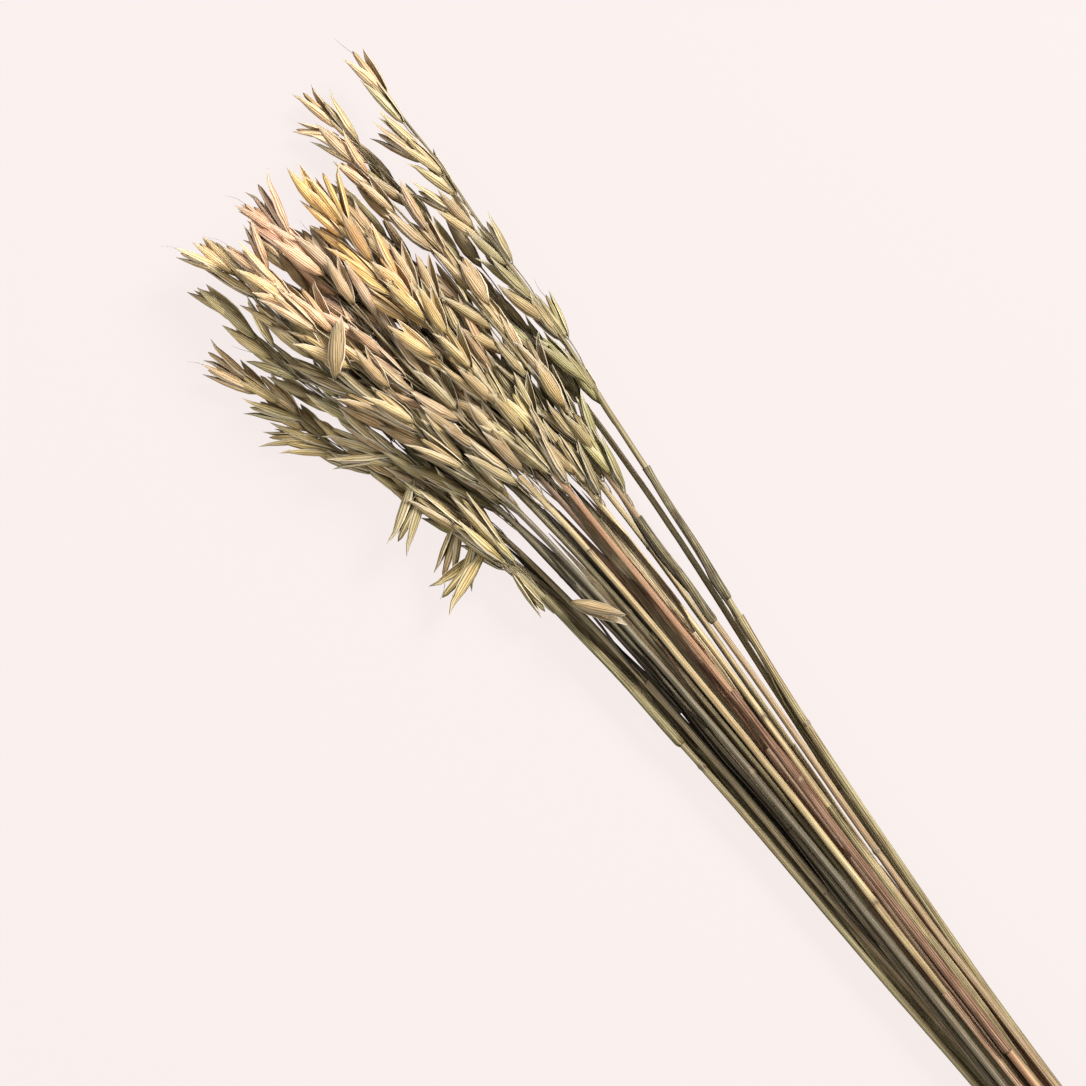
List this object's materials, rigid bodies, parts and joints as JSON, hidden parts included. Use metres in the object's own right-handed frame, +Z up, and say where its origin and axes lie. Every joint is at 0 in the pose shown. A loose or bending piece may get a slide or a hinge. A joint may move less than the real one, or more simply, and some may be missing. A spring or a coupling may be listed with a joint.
{
  "type": "bundle of dried oat grass",
  "caption": "Bundle of dried oat stalks lying flat: slender straw stems with split leaf sheaths, drooping papery seed heads fanned to one side, tied with twine near the cut ends.",
  "frame": {"origin": "centre of the bundle's box in plan, on the surface that it lies on", "axes": "+X along the bundle from the seed heads to the cut ends, +Y to the side where the outermost stalk swings away, +Z up"},
  "size_m": [0.598, 0.1184, 0.0479],
  "materials": {
    "straw": "dry satin straw, fine lengthwise ribs",
    "dry_leaf": "dry papery leaf, matt, ribbed",
    "seed_head": "papery husks with parallel veins, matt",
    "twine": "twisted natural twine"
  },
  "bodies": {
    "root": {"stem_01": "straw", "stem_02": "straw", "stem_03": "straw", "stem_04": "straw", "stem_05": "straw", "stem_06": "straw", "stem_07": "straw", "stem_08": "straw", "stem_09": "straw", "stem_10": "straw", "stem_11": "straw", "stem_12": "straw", "stem_13": "straw", "stem_14": "straw", "stem_15": "straw", "stem_16": "straw", "stem_17": "straw", "leaf_01": "dry_leaf", "leaf_02": "dry_leaf", "leaf_03": "dry_leaf", "leaf_04": "dry_leaf", "leaf_05": "dry_leaf", "leaf_06": "dry_leaf", "leaf_07": "dry_leaf", "leaf_08": "dry_leaf", "leaf_09": "dry_leaf", "leaf_10": "dry_leaf", "leaf_11": "dry_leaf", "leaf_12": "dry_leaf", "leaf_13": "dry_leaf", "seed_head_01": "seed_head", "seed_head_02": "seed_head", "seed_head_03": "seed_head", "seed_head_04": "seed_head", "seed_head_05": "seed_head", "seed_head_06": "seed_head", "seed_head_07": "seed_head", "seed_head_08": "seed_head", "seed_head_09": "seed_head", "seed_head_10": "seed_head", "seed_head_11": "seed_head", "seed_head_12": "seed_head", "seed_head_13": "seed_head", "seed_head_14": "seed_head", "seed_head_15": "seed_head", "seed_head_16": "seed_head", "seed_head_17": "seed_head", "fallen_spikelet_1": "seed_head", "fallen_spikelet_2": "seed_head", "twine_tie": "twine"}
  },
  "joints": []
}
